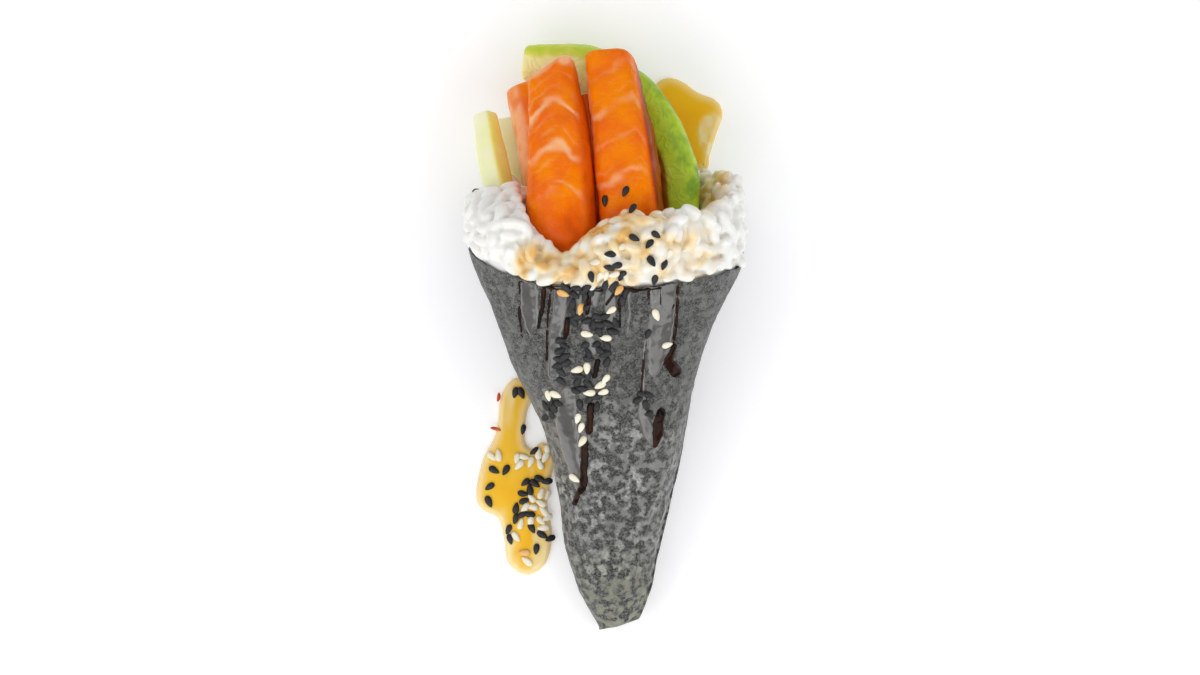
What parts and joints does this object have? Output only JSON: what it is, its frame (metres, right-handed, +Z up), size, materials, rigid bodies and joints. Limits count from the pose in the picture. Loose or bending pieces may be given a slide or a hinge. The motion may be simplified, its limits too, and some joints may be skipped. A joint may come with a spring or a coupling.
{
  "type": "salmon temaki",
  "caption": "Cone-shaped hand roll of dark seaweed around rice, salmon sticks, avocado and cucumber, lying on its side with pools of golden sauce and sesame beside it.",
  "frame": {"origin": "on the flat strip of the underside, on the surface that the roll lies on, near the middle of its length", "axes": "+Z up, +Y from the cone's tip to its open mouth, +X to the right with the tip towards the viewer"},
  "size_m": [0.0722, 0.1549, 0.0542],
  "materials": {
    "nori": "satin",
    "rice": "satin",
    "salmon": "wet gloss",
    "avocado": "satin",
    "cucumber": "wet gloss",
    "sauce": "gloss",
    "sesame_black": "satin",
    "sesame_white": "satin",
    "chili": "satin"
  },
  "bodies": {
    "root": {"nori": "nori", "rice": "rice", "salmon_left": "salmon", "salmon_right": "salmon", "salmon_side": "salmon", "avocado_slice": "avocado", "avocado_under": "avocado", "cucumber_left": "cucumber", "cucumber_under": "cucumber", "sauce_pool_left": "sauce", "sauce_pool_right": "sauce"}
  },
  "joints": []
}
